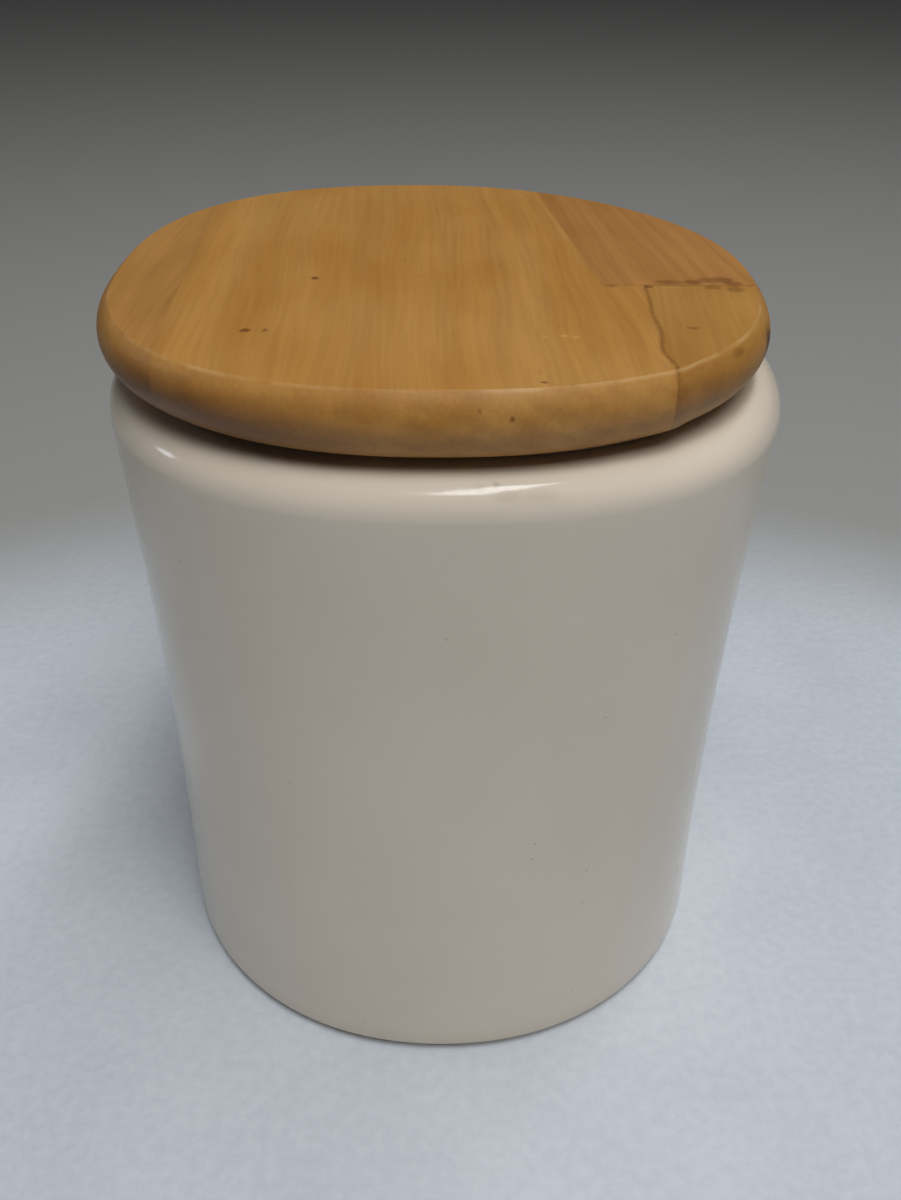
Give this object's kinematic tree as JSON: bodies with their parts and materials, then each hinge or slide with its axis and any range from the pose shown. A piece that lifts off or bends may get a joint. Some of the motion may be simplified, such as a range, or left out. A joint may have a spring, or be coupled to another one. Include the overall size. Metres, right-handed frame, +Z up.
{
  "type": "lidded storage jar",
  "caption": "Rounded-square glazed stoneware storage jar with a softly rounded shoulder and a lift-off wooden lid of glued staves, with a plug and a silicone sealing ring.",
  "frame": {"origin": "centre of the jar's footprint, on the plane that the foot ring stands on", "axes": "+Z up through the mouth and the lid; -Y towards the front as seen in use; +X to the front's right"},
  "size_m": [0.14, 0.14, 0.1698],
  "materials": {
    "glaze": "glossy cream glaze, bare stoneware on the foot ring",
    "stave_left": "oiled satin hardwood",
    "stave_middle": "oiled satin hardwood",
    "stave_right_front": "oiled satin hardwood",
    "stave_right_back": "oiled satin hardwood",
    "plug_wood": "sanded hardwood",
    "silicone": "matt milky silicone"
  },
  "bodies": {
    "jar": {"jar_body": "glaze"},
    "lid": {"lid_stave_left": "stave_left", "lid_stave_middle": "stave_middle", "lid_stave_right_front": "stave_right_front", "lid_stave_right_back": "stave_right_back", "lid_plug": "plug_wood", "seal_ring": "silicone"}
  },
  "joints": [
    {"name": "lid_lift", "type": "slide", "parent": "jar", "child": "lid", "axis": [0, 0, 1], "range_m": [0, 0.12]}
  ]
}
